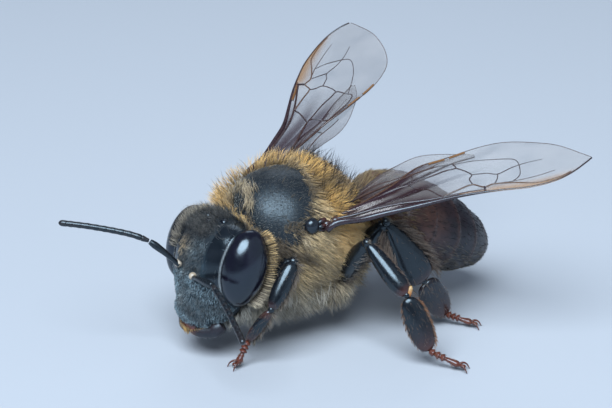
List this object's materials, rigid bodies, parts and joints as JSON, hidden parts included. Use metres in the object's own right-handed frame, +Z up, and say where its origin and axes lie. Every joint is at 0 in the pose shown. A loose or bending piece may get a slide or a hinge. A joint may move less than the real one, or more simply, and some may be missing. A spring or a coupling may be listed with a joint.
{
  "type": "honey bee",
  "caption": "Life-size honey bee worker standing on a level floor with its wings half spread, furry thorax, banded abdomen and elbowed feelers.",
  "frame": {"origin": "middle of the bounding box's footprint, at the level of the floor the feet rest on", "axes": "+Z up; the bee faces -Y and its left side is +X"},
  "size_m": [0.0116, 0.0142, 0.0078],
  "materials": {
    "head": "dull black shell with short grey-tan down",
    "eye": "glossy blue-black compound eye",
    "fur": "golden tan fur over a dark shell",
    "abdomen": "dark brown banded shell, thin down at the front",
    "leg": "black shell with reddish brown hair",
    "foot": "reddish brown shell",
    "feeler": "black feeler, brown at the joint and tip",
    "mouthpart": "dark jaw with an orange fringe",
    "tegula": "glossy black wing scale",
    "wing": "clear membrane with brown veins"
  },
  "bodies": {
    "root": {"eye_left": "eye", "eye_right": "eye", "head": "head", "mandible_left": "mouthpart", "tegula_left": "tegula", "mandible_right": "mouthpart", "tegula_right": "tegula", "proboscis": "mouthpart", "thorax": "fur", "abdomen": "abdomen", "scape_left": "feeler", "flagellum_left": "feeler", "scape_right": "feeler", "flagellum_right": "feeler", "forewing_left": "wing", "hindwing_left": "wing", "forewing_right": "wing", "hindwing_right": "wing", "femur_fore_left": "leg", "tibia_fore_left": "leg", "basitarsus_fore_left": "leg", "tarsus_fore_left": "foot", "femur_mid_left": "leg", "tibia_mid_left": "leg", "basitarsus_mid_left": "leg", "tarsus_mid_left": "foot", "femur_hind_left": "leg", "tibia_hind_left": "leg", "basitarsus_hind_left": "leg", "tarsus_hind_left": "foot", "femur_fore_right": "leg", "tibia_fore_right": "leg", "basitarsus_fore_right": "leg", "tarsus_fore_right": "foot", "femur_mid_right": "leg", "tibia_mid_right": "leg", "basitarsus_mid_right": "leg", "tarsus_mid_right": "foot", "femur_hind_right": "leg", "tibia_hind_right": "leg", "basitarsus_hind_right": "leg", "tarsus_hind_right": "foot"}
  },
  "joints": []
}
